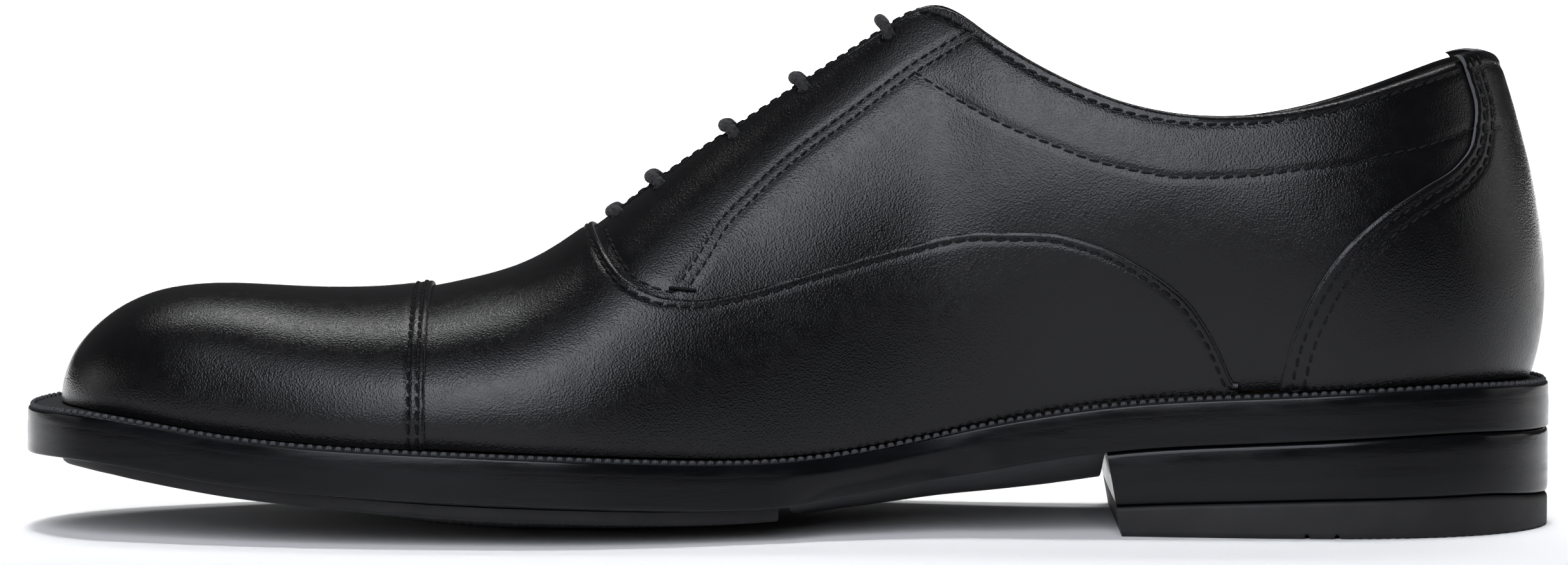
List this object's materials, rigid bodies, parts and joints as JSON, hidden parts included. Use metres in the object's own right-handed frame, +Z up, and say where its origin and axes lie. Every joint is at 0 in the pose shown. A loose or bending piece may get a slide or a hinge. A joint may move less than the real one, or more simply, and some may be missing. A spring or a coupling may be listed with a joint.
{
  "type": "leather oxford shoe",
  "caption": "Cap-toe oxford dress shoe in black leather, with closed lacing, a padded topline, a welted sole with a rubber half sole and a low stacked heel.",
  "frame": {"origin": "middle of the shoe's plan box, on the ground plane that the heel and half sole stand on", "axes": "+X from the toe to the heel, -Y the inner (medial) side of the right foot, +Z up"},
  "size_m": [0.308, 0.1056, 0.105],
  "materials": {
    "calf": "smooth black calf leather, semi-gloss polish",
    "lining": "black lining leather, matte",
    "stiffener": "resin-stiffened fibre, matte",
    "insole": "natural insole leather, matte",
    "edge": "black edge-dressed leather, satin",
    "rubber": "black rubber, matte with a fine pattern",
    "cork": "ground cork filler, matte",
    "steel": "plain spring steel strip",
    "brass": "brass, satin",
    "lace": "waxed black braided cord, matte",
    "tip": "black acetate lace tip"
  },
  "bodies": {
    "shoe": {"toe_cap": "calf", "vamp": "calf", "counter": "calf", "quarter_medial": "calf", "quarter_lateral": "calf", "vamp_lining": "lining", "quarter_lining_medial": "lining", "quarter_lining_lateral": "lining", "heel_lining": "lining", "insock": "lining", "toe_puff": "stiffener", "vamp_interlining": "stiffener", "heel_stiffener": "stiffener", "insole_board": "insole", "welt": "edge", "outsole": "edge", "heel_block": "edge", "half_sole": "rubber", "top_lift": "rubber", "cork_filler": "cork", "shank": "steel", "lace": "lace", "lace_tail_medial": "lace", "lace_tail_lateral": "lace", "aglet_medial": "tip", "aglet_lateral": "tip", "eyelet_medial_1": "brass", "eyelet_medial_2": "brass", "eyelet_medial_3": "brass", "eyelet_medial_4": "brass", "eyelet_medial_5": "brass", "eyelet_lateral_1": "brass", "eyelet_lateral_2": "brass", "eyelet_lateral_3": "brass", "eyelet_lateral_4": "brass", "eyelet_lateral_5": "brass", "heel_nail_1": "brass", "heel_nail_2": "brass", "heel_nail_3": "brass", "heel_nail_4": "brass", "heel_nail_5": "brass"},
    "tongue": {"tongue": "calf"}
  },
  "joints": [
    {"name": "tongue_hinge", "type": "hinge", "parent": "shoe", "child": "tongue", "pos_m": [-0.0472, -0.0065, 0.0513], "axis": [0, 1, 0], "range_deg": [0, 12]}
  ]
}
